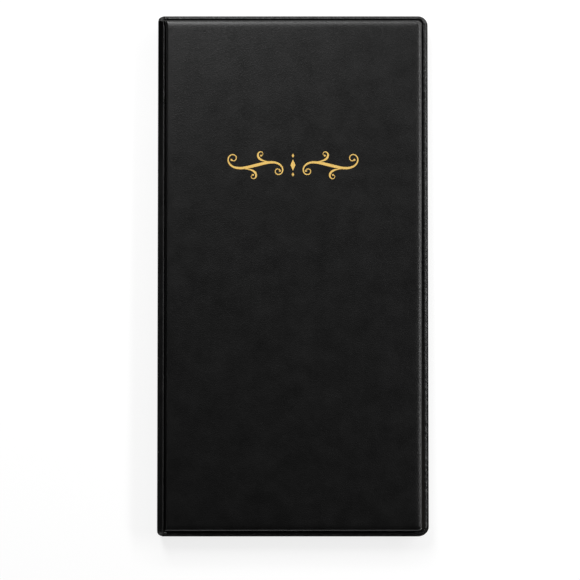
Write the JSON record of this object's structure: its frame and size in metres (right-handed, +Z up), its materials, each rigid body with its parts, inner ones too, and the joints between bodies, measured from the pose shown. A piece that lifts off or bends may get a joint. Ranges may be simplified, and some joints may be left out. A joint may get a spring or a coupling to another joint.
{
  "type": "guest check presenter",
  "caption": "Slim padded folder in black heat-sealed vinyl that opens flat like a book, with a check pocket, a receipt pocket and a clear card pocket inside.",
  "frame": {"origin": "middle of the outer face of the back cover, which the closed folder lies on", "axes": "+X from the spine to the fore edge, +Y from the tail edge to the head edge, +Z up from the back cover to the front cover"},
  "size_m": [0.132, 0.254, 0.0104],
  "materials": {
    "cover_vinyl": "satin, fine leather grain",
    "lining_vinyl": "satin, smooth",
    "clear_vinyl": "clear, glossy",
    "padding_foam": "open foam",
    "stiffening_board": "raw greyboard",
    "gold_foil": "bright stamped foil"
  },
  "bodies": {
    "back_cover": {"back_skin": "cover_vinyl", "back_foam": "padding_foam", "back_board": "stiffening_board", "back_lining": "lining_vinyl", "check_pocket": "lining_vinyl", "check_pocket_seam": "lining_vinyl"},
    "spine": {"spine_skin": "cover_vinyl", "spine_lining": "lining_vinyl"},
    "front_cover": {"front_skin": "cover_vinyl", "front_foam": "padding_foam", "front_board": "stiffening_board", "front_lining": "lining_vinyl", "foil_flourish": "gold_foil", "receipt_pocket": "lining_vinyl", "receipt_pocket_seam": "lining_vinyl", "card_pocket": "clear_vinyl", "card_pocket_seam": "clear_vinyl"}
  },
  "joints": [
    {"name": "back_hinge", "type": "hinge", "parent": "back_cover", "child": "spine", "pos_m": [-0.0653, 0, 0.0015], "axis": [0, -1, 0], "range_deg": [0, 90]},
    {"name": "front_hinge", "type": "hinge", "parent": "spine", "child": "front_cover", "pos_m": [-0.0653, 0, 0.0089], "axis": [0, -1, 0], "range_deg": [0, 90]}
  ],
  "couplings": [
    {"joint": "front_hinge", "follows": "back_hinge", "ratio": 1}
  ]
}
